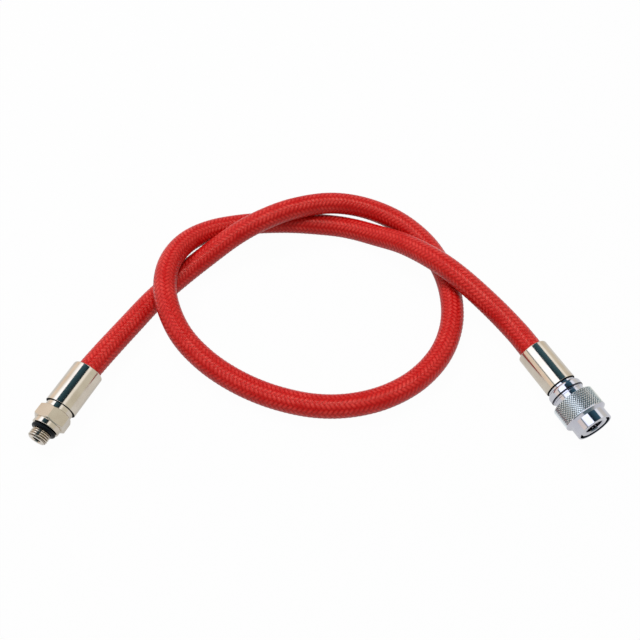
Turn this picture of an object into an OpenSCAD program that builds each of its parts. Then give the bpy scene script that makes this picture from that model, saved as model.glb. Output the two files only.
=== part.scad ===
// Low-pressure breathing-air hose, laid on a bench in a loose overhand knot.
// One end is a 3/8-24 UNF port stud, the other a quick-release inflator coupler.
// Units are millimetres. +X runs from the stud towards the coupler, +Y away from
// the fittings across the loop, +Z up from the bench. The origin is midway between
// the two fittings, on the bench.

/* [Hose] */
// Outer diameter of the braided cover
hose_d = 11.8; // [11.2:0.1:12]
// Bore of the rubber liner
hose_bore_d = 6; // [5.6:0.1:6.2]
// Wall of the rubber liner
liner_wall = 1.1; // [0.9:0.05:1.2]
// Wall of the woven reinforcement
reinforcement_wall = 0.7; // [0.5:0.05:0.8]

/* [Ferrules] */
// Outer diameter of both crimped ferrules
ferrule_d = 15.7; // [15.2:0.1:17]
// Length of both ferrules
ferrule_len = 22.6; // [20:0.1:26]
// Thickness of the end wall that is crimped into the stem's groove
ferrule_lip = 1.6; // [1.2:0.1:2.2]
// Depth of the recess that takes the end of the collar
ferrule_rim = 0.5; // [0.3:0.1:0.8]

/* [Stems in the hose] */
// Air bore of both stems
stem_bore_d = 3.6; // [3:0.1:3.8]
// Distance between two barbs
barb_pitch = 3; // [2.4:0.1:3.6]

/* [Port stud] */
// Major diameter of the port thread
thread_d = 9.525; // [9.4:0.005:9.6]
// Pitch of the port thread
thread_pitch = 1.058; // [1:0.001:1.1]
// Length of the port thread
thread_len = 4.6; // [4.4:0.1:7]
// Air bore at the mouth of the stud
stud_bore_d = 4.4; // [3.8:0.1:4.8]
// Thickness of the port O-ring
port_ring_t = 2; // [1.7:0.05:2.2]
// Diameter of the collar that seats on the port
seat_collar_d = 13.6; // [12.8:0.1:14.4]
// Length of the collar that seats on the port
seat_collar_len = 2.5; // [2:0.1:3.5]
// Spanner size across the flats of the hexagon
hex_flats = 15; // [14.6:0.1:16]
// Length of the hexagon
hex_len = 6.8; // [5.5:0.1:8]
// Angle that the hexagon is turned about its axis
hex_turn = 14; // [0:1:30]
// Wall of the stud's ferrule round the end of its collar
stud_rim_wall = 0.65; // [0.5:0.05:0.9]
// Length of the collar between hexagon and ferrule
back_collar_len = 3.2; // [2.5:0.1:4]

/* [Coupler body] */
// Mouth of the socket, which guides the inflator nipple
socket_d = 8.9; // [8.7:0.05:9.1]
// Length of the guiding mouth
guide_len = 2.7; // [2.4:0.1:2.8]
// Radial relief of the socket behind its mouth
socket_relief = 0.25; // [0.2:0.05:0.35]
// Depth of the nipple socket
socket_depth = 12.2; // [11.8:0.1:13]
// Distance from the front of the body to the groove of the nipple's seal
seal_set = 7.6; // [7.2:0.1:8.2]
// Wall between the socket's mouth and the tube that the sleeve runs on
socket_wall = 2.6; // [2.5:0.05:2.8]
// Radial step from that tube to the neck behind the sleeve
neck_step = 0.6; // [0.5:0.05:0.8]
// Radial step from the neck to the bead that stops the sleeve
bead_step = 0.3; // [0.25:0.05:0.5]
// Length of that bead
bead_len = 0.9; // [0.7:0.1:1.2]
// Diameter of the stem's flange, which closes on the end of the body
flange_d = 17.2; // [16.6:0.1:18]
// Length of that flange
flange_len = 3.3; // [2.8:0.1:3.8]
// Wall of the coupler's ferrule round the end of its collar
tail_rim_wall = 0.45; // [0.4:0.05:0.7]
// Length of the collar between flange and ferrule
tail_collar_len = 2.6; // [2:0.1:3.5]
// Thickness of the O-ring that seals on the nipple
socket_ring_t = 1.4; // [1.2:0.05:1.5]
// Thickness of the O-ring on the stem's spigot
stem_ring_t = 0.9; // [0.8:0.05:1.1]

/* [Release sleeve] */
// Radial step from the sleeve's running land to the recess in its nose
nose_step = 0.9; // [0.8:0.05:1]
// Wall of the smooth nose
nose_wall = 0.95; // [0.8:0.05:1.2]
// Length of the smooth nose
nose_len = 5.3; // [4.6:0.1:5.6]
// Length of the cone between nose and grip
step_len = 1.3; // [0.8:0.1:1.8]
// Diameter of the knurled grip
grip_d = 21.2; // [20:0.1:23]
// Length of the grip
grip_len = 9.7; // [9:0.1:11]
// Thickness of the wall at the back of the sleeve
sleeve_back_wall = 1.2; // [1:0.1:1.6]
// Distance that the sleeve is drawn back to release
sleeve_travel = 1.8; // [1.5:0.1:2.2]

/* [Lock balls and springs] */
// Depth that a locked ball reaches in past the socket's mouth
ball_bite = 0.45; // [0.35:0.05:0.5]
// Height that a locked ball stands out of the body
ball_proud = 0.15; // [0.1:0.05:0.25]
// Distance from the front of the body to the ring of balls
ball_set = 4.2; // [4:0.1:4.5]
// Thickness of the retaining ring
ring_t = 0.8; // [0.6:0.05:0.9]
// Wire of the sleeve spring
sleeve_wire = 0.8; // [0.6:0.05:0.9]
// Turns of the sleeve spring
sleeve_turns = 5; // [4:0.5:6]

/* [Valve core] */
// Diameter of the core's threaded head
core_d = 5.2; // [5:0.05:5.4]
// Length of the threaded head
core_head_len = 2.4; // [2:0.1:2.6]
// Length of the gasket behind the head
core_gasket_len = 1.2; // [1:0.1:1.3]
// Diameter of the core's barrel
core_barrel_d = 4; // [3.8:0.05:4.1]
// Length of the barrel behind the gasket
core_barrel_len = 3.2; // [3:0.1:3.4]
// Diameter of the pin
pin_d = 1; // [0.9:0.05:1.1]
// Length of pin that stands in the socket
pin_reach = 2.6; // [2.2:0.1:3]
// Distance that the pin is pushed in to open the valve
pin_travel = 1.8; // [1.4:0.1:2]
// Length of the rubber seal cup
core_seal_len = 1.2; // [1:0.1:1.4]
// Wire of the core spring
core_wire = 0.35; // [0.3:0.05:0.4]
// Turns of the core spring
core_turns = 6; // [4:0.5:7]

/* [Lay on the bench] */
// Direction of the stud's axis, from its tip towards the hose
stud_heading = 64.5; // [60:0.5:70]
// Direction of the coupler's axis, from its tip towards the hose
coupler_heading = 118; // [112:0.5:122]

/* [Hidden] */
$fn = 64;

// Clearances and edges
run_gap = 0.05;      // radial, between parts that slide or turn on each other
seat_gap = 0.05;     // between faces that stand against each other
layer_gap = 0.1;     // between the layers of the hose
crimp_gap = 0.1;     // between ferrule and hose cover
seal_gap = 0.05;     // between an O-ring and its groove
stop_gap = 0.1;      // left between sleeve and bead when the sleeve is drawn back
rim_gap = 0.3;       // radial, round the collar that ends in a ferrule's recess
bench_gap = 0.1;     // between the hose and the bench
edge = 0.4;          // chamfer on the edges of the turned parts
fine_edge = 0.2;     // chamfer on the edges of the small turned parts
over = 1;            // overrun of a cut

// Collars that end in the ferrules' recesses
back_collar_d = ferrule_d - 2 * (stud_rim_wall + rim_gap);
tail_collar_d = ferrule_d - 2 * (tail_rim_wall + rim_gap);

// Where the two tips stand on the bench
hex_corner_r = hex_flats / 2 / cos(30);
stud_tip = [-131.4, -24.6, max(hex_corner_r * cos(hex_turn), ferrule_d / 2)];
coupler_tip = [127.8, -19.5, grip_d / 2];

// Stations along the stud, from its tip
seat_t = thread_len + port_ring_t + seat_gap;
hex_t = seat_t + seat_collar_len;
back_t = hex_t + hex_len;
stud_neck_t = back_t + back_collar_len;

// Stations along the coupler, from its tip
face_u = 0.4;        // front of the body, set back in the sleeve
ball_u = face_u + ball_set;
socket_end_u = face_u + socket_depth;
grip_u = nose_len + step_len;
chamfer_len = 0.9;
sleeve_len = grip_u + grip_len + chamfer_len;
bead_u = sleeve_len + sleeve_travel + stop_gap;
seam_u = bead_u + bead_len;
tail_collar_u = seam_u + seat_gap + flange_len;
tail_neck_u = tail_collar_u + tail_collar_len;

// Diameters of the coupler, from its socket outwards
relief_r = socket_d / 2 + socket_relief;
body_d = socket_d + 2 * socket_wall;
neck_d = body_d + 2 * neck_step;
land_r = body_d / 2 + run_gap;
recess_r = land_r + nose_step;
nose_d = 2 * (recess_r + nose_wall);
ball_d = ball_bite + socket_wall + ball_proud;

// Locking cone inside the sleeve: its slope lifts a ball clear as the sleeve is drawn back
ball_c = socket_d / 2 - ball_bite + ball_d / 2;
ball_lift = ball_bite + run_gap;
cone_slope = ball_lift / sleeve_travel;
cone_ball_r = ball_c + (ball_d / 2 + run_gap) / cos(atan(cone_slope));
cone_end_u = ball_u + (cone_ball_r - land_r) / cone_slope;
cone_start_u = ball_u - (recess_r - cone_ball_r) / cone_slope;
ball_hole_r = ball_d / 2 + run_gap;
ring_web = 0.6;      // wall left between the retaining ring and the ball holes
ring_back_u = ball_u - ball_hole_r - ring_web;
ring_r = min(recess_r, cone_ball_r + cone_slope * (ball_u - ring_back_u)) - run_gap;
ring_w = 1.4;        // radial width of the retaining ring
ring_split = 1.2;    // gap between the retaining ring's ends
ring_floor_r = ring_r - ring_w;

// Sleeve spring, between the sleeve's shoulder and the step of the neck
land_len = 1.8;      // of the sleeve, running on the body
neck_set = 0.6;      // from the neck's step to the wall at the back of the sleeve
shoulder_u = cone_end_u + land_len;
neck_u = sleeve_len - sleeve_back_wall - neck_set;
sleeve_steps = 10;   // rings in a turn of the spring
sleeve_coil_r = (body_d / 2 + 2 * run_gap) / cos(180 / sleeve_steps) + sleeve_wire / 2;
coil_gap = 0.15;     // radial, round a spring
cavity_r = sleeve_coil_r + sleeve_wire / 2 + coil_gap;

// Valve core
core_set = 0.2;      // from the socket's floor to the core's head
core_wall = 0.45;    // round the core's spring
core_floor = 1.6;    // behind the core's spring
core_throat = 0.2;   // radial, round the barrel where the gasket seats
seal_step = 0.25;    // from the barrel's radius to the seal's
core_u = socket_end_u + core_set;
gasket_u = core_u + core_head_len;
barrel_u = gasket_u + core_gasket_len;
core_end_u = barrel_u + core_barrel_len;
core_bore_r = core_d / 2 + run_gap;
throat_r = core_barrel_d / 2 + core_throat;
throat_u = barrel_u + seat_gap;
core_cavity_r = core_barrel_d / 2 - core_wall;
pin_head_r = core_cavity_r - coil_gap;
pin_head_t = 0.6;
pin_end_t = 0.3;
pin_end_rim = 0.3;
pin_hole_gap = 0.25; // radial, where the air passes the pin
core_steps = 8;      // rings in a turn of the spring
core_coil_r = pin_head_r - core_wire / 2;
seal_r = core_barrel_d / 2 - seal_step;
pin_u = socket_end_u - pin_reach;
seal_u = core_end_u + seat_gap;
pin_end_u = seal_u + core_seal_len + seat_gap;

// Screwed joint between body and stem
throat_len = 0.6;
spigot_set = 0.3;    // from the body's inner step to the spigot's end
spigot_r = 5.1;
spigot_gap = 0.1;    // radial, round the spigot
air_gap = 0.75;      // radial, where the air passes the open seal
pin_room = 0.4;      // behind the pin when it is pushed in
stem_groove_set = 0.5;
throat_end_u = throat_u + throat_len;
spigot_u = throat_end_u + spigot_set;
spigot_bore_r = seal_r + air_gap;
spigot_bore_end = pin_end_u + pin_end_t + pin_travel + pin_room;
stem_groove_r = spigot_r + run_gap - stem_ring_t;
stem_groove_u = spigot_u + stem_groove_set;
stem_groove_end = stem_groove_u + stem_ring_t + 2 * seal_gap;

// Stems and hose ends inside the ferrules
lip_r = 4.6;
shoulder_r = 5.2;
shoulder_len = 1;
end_gap = 0.2;       // between the shoulder and the end of the hose
hose_inset = ferrule_lip + seat_gap + shoulder_len + end_gap;
hose_sides = 12;
layer_sides = 8;
barb_gap = 0.07;     // radial, between the barbs and the liner
barb_r = hose_bore_d / 2 * cos(180 / layer_sides) - barb_gap;
barb_depth = 0.4;
barb_flank = 0.3;    // of a barb's steep side
barb_start = 1;      // least plain stretch in front of the first barb
barb_short = 2;      // from the end of the stem to the mouth of the ferrule

// Layers of the hose, as radii to the corners of their sections
liner_r = hose_bore_d / 2 + liner_wall;
reinforcement_in_r = liner_r + layer_gap / cos(180 / layer_sides);
reinforcement_r = reinforcement_in_r + reinforcement_wall;
cover_in_r = (reinforcement_r + layer_gap) / cos(180 / hose_sides);

// Mouths of the ferrules, where the hose comes into the open
stud_mouth_t = stud_neck_t - ferrule_rim + ferrule_len;
coupler_mouth_u = tail_neck_u - ferrule_rim + ferrule_len;

// Route of the hose from the stud to the coupler: x, y and how far its centre is
// lifted from lying on the bench
lie_z = hose_d / 2 * cos(180 / hose_sides) + bench_gap;
route = [
    [-107.5, 24, 2], [-98, 40.5, 1], [-87.5, 57.5, 0.5], [-76, 72.5, 0],
    [-62.5, 85, 2.5], [-46.5, 96.5, 7.5], [-31.5, 104.5, 11], [-14.5, 111.5, 12.5],
    [5.5, 117.5, 10.5], [24.5, 117.5, 7], [42.5, 110.5, 4], [56.5, 98, 1.5],
    [65, 82.5, 0], [69, 63.5, 0], [68, 43.5, 0], [61, 25, 0],
    [48.5, 10, 0], [32.5, 0, 0], [14.5, -5, 0], [-4, -5, 0],
    [-23.5, 0, 0], [-42, 8.5, 1], [-58, 19, 4.5], [-70.5, 32.5, 8.5],
    [-78.5, 51, 12], [-79.5, 70, 12.5], [-73.5, 88, 9.5], [-61.5, 101.5, 5],
    [-43.5, 110, 1], [-22, 112.5, 0], [0.5, 111, 0], [17, 108, 0],
    [31.5, 101.5, 1.5], [46, 91, 6.5], [60.5, 76, 11.5], [72.5, 63.5, 12],
    [87, 48.5, 8.5], [98.5, 34.5, 5.5]
];
hose_rings = 64;
end_rings = 2;       // of them inside each ferrule
mouth_straight = 9;  // from a ring inside each ferrule to its mouth

function heading(a) = [cos(a), sin(a), 0];
function on_stud(t) = stud_tip + t * heading(stud_heading);
function on_coupler(u) = coupler_tip + u * heading(coupler_heading);

centreline = concat(
    [on_stud(stud_neck_t + hose_inset), on_stud(stud_mouth_t - mouth_straight), on_stud(stud_mouth_t)],
    [for (p = route) [p[0], p[1], p[2] + lie_z]],
    [on_coupler(coupler_mouth_u), on_coupler(coupler_mouth_u - mouth_straight),
     on_coupler(tail_neck_u + hose_inset)]
);
last = len(centreline) - 1;

// Smooth curve through the points: s counts points along the route
function point(i) = i < 0 ? 2 * centreline[0] - centreline[1]
    : i > last ? 2 * centreline[last] - centreline[last - 1]
    : centreline[i];
function blend4(a, b, c, d, f) = 0.5 * (2 * b + (c - a) * f
    + (2 * a - 5 * b + 4 * c - d) * pow(f, 2) + (3 * b - a - 3 * c + d) * pow(f, 3));
function along(s) = let (
    i = min(floor(s), last - 1),
    p = blend4(point(i - 1), point(i), point(i + 1), point(i + 2), s - i)
) [p[0], p[1], max(p[2], lie_z)];

// Stations of the rings: inside a ferrule the hose is straight, up to its mouth
free_rings = hose_rings - 2 * end_rings;
free_step = (last - 2 * end_rings) / (free_rings - 1);
ring_s = concat([for (k = [0 : end_rings - 1]) k],
                [for (k = [0 : free_rings - 1]) end_rings + k * free_step],
                [for (k = [1 : end_rings]) last - end_rings + k]);
ring_points = [for (s = ring_s) along(s)];
function unit(v) = v / norm(v);
function tangent(k) = unit(
    ring_points[min(k + 1, hose_rings - 1)] - ring_points[max(k - 1, 0)]);
// Across the hose, always level, so that one side of the section faces the bench
function level(k) = unit(cross([0, 0, 1], tangent(k)));
function ring_corners(k, r, sides) = let (across = level(k), up = cross(tangent(k), across))
    [for (j = [0 : sides - 1]) let (a = (j + 0.5) * 360 / sides)
        ring_points[k] + r * (sin(a) * across - cos(a) * up)];

// Least gap of the hose to itself, between stretches that are far apart along it
gap_points = [for (s = [0 : 0.25 : last]) along(s)];
gap_skip = 12;
least_gap = min([for (i = [0 : len(gap_points) - 1 - gap_skip])
    for (j = [i + gap_skip : len(gap_points) - 1]) norm(gap_points[i] - gap_points[j])]) - hose_d;
route_steps = [for (i = [1 : len(gap_points) - 1]) norm(gap_points[i] - gap_points[i - 1])];
echo(least_gap_of_the_hose_to_itself = least_gap);
echo(length_of_the_hose = route_steps * [for (step = route_steps) 1]);

// ---- helpers ---------------------------------------------------------------

module at_stud() {
    translate(stud_tip) rotate([0, 90, stud_heading]) children();
}

module at_coupler() {
    translate(coupler_tip) rotate([0, 90, coupler_heading]) children();
}

// Turned part: the profile lists [radius, station] pairs
module turned(profile) {
    rotate_extrude() polygon(profile);
}

// Ring between two radii, from station a to station b, with chamfered outer edges
module collar(r_in, r_out, a, b, chamfer = edge) {
    turned([[r_in, a], [r_out - chamfer, a], [r_out, a + chamfer],
            [r_out, b - chamfer], [r_out - chamfer, b], [r_in, b]]);
}

module o_ring(inner_r, thick, a) {
    translate([0, 0, a]) rotate_extrude() translate([inner_r + thick / 2, 0]) circle(d = thick);
}

// Hollow hose layer swept along the rings
module hose_layer(r_in, r_out, sides) {
    outer = [for (k = [0 : hose_rings - 1]) each ring_corners(k, r_out, sides)];
    inner = [for (k = [0 : hose_rings - 1]) each ring_corners(k, r_in, sides)];
    in0 = hose_rings * sides;
    end0 = (hose_rings - 1) * sides;
    polyhedron(
        points = concat(outer, inner),
        faces = concat(
            [for (k = [0 : hose_rings - 2], j = [0 : sides - 1])
                let (a = k * sides + j, b = k * sides + (j + 1) % sides)
                each [[a, b + sides, b], [a, a + sides, b + sides]]],
            [for (k = [0 : hose_rings - 2], j = [0 : sides - 1])
                let (a = in0 + k * sides + j, b = in0 + k * sides + (j + 1) % sides)
                each [[a, b, b + sides], [a, b + sides, a + sides]]],
            [for (j = [0 : sides - 1]) let (b = (j + 1) % sides)
                each [[j, b, in0 + b], [j, in0 + b, in0 + j]]],
            [for (j = [0 : sides - 1]) let (b = (j + 1) % sides)
                each [[end0 + j, in0 + end0 + b, end0 + b],
                      [end0 + j, in0 + end0 + j, in0 + end0 + b]]]
        )
    );
}

// Wire spring from station a to station b
module spring(coil_r, wire, turns, a, b, steps, sides = 6) {
    count = round(turns * steps);
    rise = (b - a - wire) / count;
    function wire_point(k, j) = let (turn = k * 360 / steps, w = j * 360 / sides,
        r = coil_r + wire / 2 * cos(w))
        [r * cos(turn), r * sin(turn), a + wire / 2 + k * rise + wire / 2 * sin(w)];
    polyhedron(
        points = [for (k = [0 : count], j = [0 : sides - 1]) wire_point(k, j)],
        faces = concat(
            [for (k = [0 : count - 1], j = [0 : sides - 1])
                let (p = k * sides + j, q = k * sides + (j + 1) % sides)
                each [[p, q, q + sides], [p, q + sides, p + sides]]],
            [for (j = [1 : sides - 2]) [0, j + 1, j]],
            [for (j = [1 : sides - 2]) [count * sides, count * sides + j, count * sides + j + 1]]
        )
    );
}

// Barbed stem from the collar's end into the hose, without its bore
module barbed_stem(neck, mouth) {
    groove_end = neck + ferrule_lip + seat_gap;
    stop = groove_end + shoulder_len;
    tip = mouth - barb_short;
    barbs = floor((tip - stop - barb_start) / barb_pitch);
    root_r = barb_r - barb_depth;
    turned(concat(
        [[0, neck], [lip_r, neck], [lip_r, groove_end], [shoulder_r, groove_end],
         [shoulder_r, stop], [root_r, stop]],
        [for (i = [0 : barbs - 1]) let (s = tip - (barbs - i) * barb_pitch)
            each [[root_r, s], [barb_r, s + barb_flank], [root_r, s + barb_pitch - barb_flank]]],
        [[root_r, tip], [0, tip]]
    ));
}

// Crimped ferrule: the recess takes the collar's end, the lip stands in the groove
module ferrule(neck, collar_d) {
    a = neck - ferrule_rim;
    b = a + ferrule_len;
    r = ferrule_d / 2;
    hose_r = hose_d / 2 + crimp_gap;
    rim_r = collar_d / 2 + rim_gap;
    rim_edge = min(edge, (r - rim_r) / 2);
    turned([
        [rim_r, a], [r - rim_edge, a], [r, a + rim_edge], [r, b - edge], [r - edge, b],
        [hose_r + edge, b], [hose_r, b - edge], [hose_r, neck + ferrule_lip],
        [lip_r + run_gap, neck + ferrule_lip], [lip_r + run_gap, neck + seat_gap],
        [rim_r, neck + seat_gap]
    ]);
}

// ---- stud end --------------------------------------------------------------

thread_crest = thread_pitch / 4;
thread_depth = 0.6 * thread_pitch;
thread_r = thread_d / 2;
thread_turns = floor((thread_len - thread_crest) / thread_pitch);
thread_lead = thread_len - thread_turns * thread_pitch;
thread_groove_r = thread_r - thread_depth;
hex_face_r = hex_flats / 2 - fine_edge;
hex_rim_r = hex_corner_r + fine_edge;
hex_bevel = (hex_rim_r - hex_face_r) * tan(30);

module stud_fitting() {
    color("gainsboro") at_stud() difference() {
        union() {
            turned(concat(
                [[0, 0], [thread_groove_r, 0]],
                [for (i = [0 : thread_turns - 1]) let (s = thread_lead / 2 + i * thread_pitch)
                    each [[thread_groove_r, s], [thread_r, s + 1.5 * thread_crest],
                          [thread_r, s + 2.5 * thread_crest], [thread_groove_r, s + 4 * thread_crest]]],
                [[thread_groove_r, thread_len], [thread_groove_r, seat_t], [0, seat_t]]
            ));
            collar(0, seat_collar_d / 2, seat_t, hex_t);
            intersection() {
                translate([0, 0, hex_t]) rotate([0, 0, hex_turn])
                    cylinder(r = hex_corner_r, h = hex_len, $fn = 6);
                turned([[0, hex_t], [hex_face_r, hex_t], [hex_rim_r, hex_t + hex_bevel],
                        [hex_rim_r, back_t - hex_bevel], [hex_face_r, back_t], [0, back_t]]);
            }
            collar(0, back_collar_d / 2, back_t, stud_neck_t);
            barbed_stem(stud_neck_t, stud_mouth_t);
        }
        translate([0, 0, -over]) cylinder(d = stud_bore_d, h = back_t + over);
        translate([0, 0, -over]) cylinder(d = stem_bore_d, h = stud_mouth_t + 2 * over);
        turned([[0, -over], [stud_bore_d / 2 + edge + over, -over], [stud_bore_d / 2, edge], [0, edge]]);
    }
}

module port_o_ring() {
    color("black") at_stud()
        o_ring(thread_groove_r + seal_gap, port_ring_t, thread_len + port_ring_t / 2);
}

module stud_ferrule() {
    color("silver") at_stud() ferrule(stud_neck_t, back_collar_d);
}

// ---- hose ------------------------------------------------------------------

module hose_liner() {
    color("dimgray") hose_layer(hose_bore_d / 2, liner_r, layer_sides);
}

module hose_reinforcement() {
    color("wheat") hose_layer(reinforcement_in_r, reinforcement_r, layer_sides);
}

module hose_cover() {
    color("crimson") hose_layer(cover_in_r, hose_d / 2, hose_sides);
}

// ---- coupler end -----------------------------------------------------------

module coupler_ferrule() {
    color("silver") at_coupler() ferrule(tail_neck_u, tail_collar_d);
}

module coupler_stem() {
    color("gainsboro") at_coupler() difference() {
        union() {
            turned([[0, spigot_u], [spigot_r - fine_edge, spigot_u], [spigot_r, spigot_u + fine_edge],
                    [spigot_r, stem_groove_u], [stem_groove_r, stem_groove_u],
                    [stem_groove_r, stem_groove_end], [spigot_r, stem_groove_end],
                    [spigot_r, seam_u + seat_gap], [0, seam_u + seat_gap]]);
            collar(0, flange_d / 2, seam_u + seat_gap, tail_collar_u);
            collar(0, tail_collar_d / 2, tail_collar_u, tail_neck_u);
            barbed_stem(tail_neck_u, coupler_mouth_u);
        }
        translate([0, 0, spigot_u - over])
            cylinder(r = spigot_bore_r, h = spigot_bore_end - spigot_u + over);
        translate([0, 0, spigot_u - over])
            cylinder(d = stem_bore_d, h = coupler_mouth_u - spigot_u + 2 * over);
    }
}

module stem_o_ring() {
    color("black") at_coupler()
        o_ring(stem_groove_r + seal_gap / 2, stem_ring_t, (stem_groove_u + stem_groove_end) / 2);
}

ring_bite = 0.15;    // of the seal on the nipple
socket_edge = 0.5;
socket_ring_in_r = socket_d / 2 - ring_bite;
socket_groove_r = socket_ring_in_r + socket_ring_t + seal_gap;
socket_groove_u = face_u + seal_set;
socket_groove_end = socket_groove_u + socket_ring_t + 2 * seal_gap;

module coupler_body() {
    r = body_d / 2;
    mouth_r = socket_d / 2;
    guide_end = face_u + guide_len;
    ring_front_u = ring_back_u - ring_t - seal_gap;
    color("lightsteelblue") at_coupler() difference() {
        union() {
            turned([[0, face_u], [r - edge, face_u], [r, face_u + edge],
                    [r, ring_front_u], [ring_floor_r, ring_front_u],
                    [ring_floor_r, ring_back_u + seal_gap], [r, ring_back_u + seal_gap],
                    [r, neck_u], [neck_d / 2, neck_u], [neck_d / 2, bead_u], [0, bead_u]]);
            collar(0, neck_d / 2 + bead_step, bead_u, seam_u, fine_edge);
        }
        turned([[0, face_u - over], [mouth_r + socket_edge + over, face_u - over],
                [mouth_r, face_u + socket_edge], [mouth_r, guide_end], [relief_r, guide_end],
                [relief_r, socket_groove_u], [socket_groove_r, socket_groove_u],
                [socket_groove_r, socket_groove_end], [relief_r, socket_groove_end],
                [relief_r, socket_end_u], [core_bore_r, socket_end_u],
                [core_bore_r, throat_u], [throat_r, throat_u], [throat_r, throat_end_u],
                [spigot_r + spigot_gap, throat_end_u], [spigot_r + spigot_gap, seam_u + over],
                [0, seam_u + over]]);
        for (i = [0 : 5]) rotate([0, 0, i * 60]) translate([ball_c, 0, ball_u]) {
            sphere(r = ball_hole_r);
            rotate([0, 90, 0]) cylinder(r = ball_hole_r, h = body_d);
        }
    }
}

module socket_o_ring() {
    color("black") at_coupler()
        o_ring(socket_ring_in_r, socket_ring_t, (socket_groove_u + socket_groove_end) / 2);
}

module release_sleeve() {
    nose_r = nose_d / 2;
    grip_r = grip_d / 2;
    back_r = neck_d / 2 + 2 * run_gap;
    color("lightgray") at_coupler() turned([
        [recess_r, 0], [nose_r - edge, 0], [nose_r, edge], [nose_r, nose_len],
        [grip_r - fine_edge, grip_u - fine_edge], [grip_r, grip_u], [grip_r, sleeve_len - chamfer_len],
        [back_r + fine_edge, sleeve_len], [back_r, sleeve_len],
        [back_r, sleeve_len - sleeve_back_wall], [cavity_r, sleeve_len - sleeve_back_wall],
        [cavity_r, shoulder_u], [land_r, shoulder_u], [land_r, cone_end_u],
        [recess_r, cone_start_u]
    ]);
}

module sleeve_spring() {
    color("darkgray") at_coupler()
        spring(sleeve_coil_r, sleeve_wire, sleeve_turns, shoulder_u + seat_gap, neck_u - seat_gap,
               sleeve_steps);
}

module retaining_ring() {
    color("dimgray") at_coupler() difference() {
        collar(ring_floor_r + seal_gap, ring_r, ring_back_u - ring_t, ring_back_u, fine_edge / 2);
        translate([0, -ring_split / 2, ring_back_u - ring_t - over])
            cube([body_d, ring_split, ring_t + 2 * over]);
    }
}

module lock_ball(i) {
    color("gray") at_coupler() rotate([0, 0, (i - 1) * 60])
        translate([ball_c, 0, ball_u]) sphere(d = ball_d);
}

module core_plug() {
    color("goldenrod") at_coupler() difference() {
        turned([[0, core_u], [core_d / 2 - fine_edge, core_u], [core_d / 2, core_u + fine_edge],
                [core_d / 2, gasket_u], [core_barrel_d / 2, gasket_u],
                [core_barrel_d / 2, core_end_u], [0, core_end_u]]);
        translate([0, 0, core_u - over])
            cylinder(r = core_cavity_r, h = core_end_u - core_floor - core_u + over);
        translate([0, 0, core_u - over])
            cylinder(r = pin_d / 2 + pin_hole_gap, h = core_end_u - core_u + 2 * over);
    }
}

module core_gasket() {
    color("crimson") at_coupler()
        collar(core_barrel_d / 2 + run_gap, core_bore_r - run_gap, gasket_u + seat_gap, barrel_u,
               fine_edge / 2);
}

module core_pin() {
    r = pin_d / 2;
    head_u = core_u - pin_head_t / 2;
    color("goldenrod") at_coupler() turned([
        [0, pin_u], [r - fine_edge, pin_u], [r, pin_u + fine_edge], [r, head_u],
        [pin_head_r, head_u], [pin_head_r, head_u + pin_head_t], [r, head_u + pin_head_t],
        [r, pin_end_u], [r + pin_end_rim, pin_end_u], [r + pin_end_rim, pin_end_u + pin_end_t],
        [0, pin_end_u + pin_end_t]
    ]);
}

module core_seal() {
    color("dimgray") at_coupler()
        collar(pin_d / 2 + run_gap, seal_r, seal_u, seal_u + core_seal_len, fine_edge);
}

module core_spring() {
    head_end_u = core_u + pin_head_t / 2;
    color("silver") at_coupler()
        spring(core_coil_r, core_wire, core_turns, head_end_u + seat_gap,
               core_end_u - core_floor - seat_gap, core_steps);
}

// ---- assembly --------------------------------------------------------------

stud_fitting();
port_o_ring();
stud_ferrule();
hose_liner();
hose_reinforcement();
hose_cover();
coupler_ferrule();
coupler_stem();
stem_o_ring();
coupler_body();
socket_o_ring();
release_sleeve();
sleeve_spring();
retaining_ring();
lock_ball(1);  // lock_ball_1
lock_ball(2);  // lock_ball_2
lock_ball(3);  // lock_ball_3
lock_ball(4);  // lock_ball_4
lock_ball(5);  // lock_ball_5
lock_ball(6);  // lock_ball_6
core_plug();
core_gasket();
core_pin();
core_seal();
core_spring();
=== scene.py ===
# %% [markdown]
# # A braided breathing-air hose, laid in a loose overhand knot
# The part is a rubber hose with a red braided cover. A crimped ferrule holds each end: one on
# a threaded port stud, the other on a quick-release coupler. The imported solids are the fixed
# frame: every fitting here sits where they say, and nothing is moved or resized. The cells
# build, in this order, the camera, the hose, the turned metal pieces, the finishes and the light.

# %% Load the frame
import math

import bmesh
import bpy
import numpy as np
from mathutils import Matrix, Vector


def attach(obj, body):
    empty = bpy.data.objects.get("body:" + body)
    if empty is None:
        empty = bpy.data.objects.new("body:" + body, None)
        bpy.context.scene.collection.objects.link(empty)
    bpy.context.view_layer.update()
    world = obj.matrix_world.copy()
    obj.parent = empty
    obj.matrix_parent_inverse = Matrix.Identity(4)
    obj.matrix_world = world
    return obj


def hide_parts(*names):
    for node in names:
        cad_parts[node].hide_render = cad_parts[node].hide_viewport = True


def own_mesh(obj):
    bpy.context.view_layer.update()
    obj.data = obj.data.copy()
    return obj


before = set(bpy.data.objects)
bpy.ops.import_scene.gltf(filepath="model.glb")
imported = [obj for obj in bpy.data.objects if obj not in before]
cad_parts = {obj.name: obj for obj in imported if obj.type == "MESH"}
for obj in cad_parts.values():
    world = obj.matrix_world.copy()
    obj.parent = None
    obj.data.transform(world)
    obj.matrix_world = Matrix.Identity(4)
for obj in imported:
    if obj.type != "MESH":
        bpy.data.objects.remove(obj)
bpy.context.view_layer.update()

MM = 0.001

# %% [markdown]
# The camera looks down on the bench at 55 degrees from the side where both fittings lie. Its
# distance and lens come first, because they decide how much of the hose is seen at all.

# %% Camera
ELEVATION = math.radians(55)
DISTANCE = 408 * MM
AIM = Vector((0, 49.1 * MM, 0))

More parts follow.
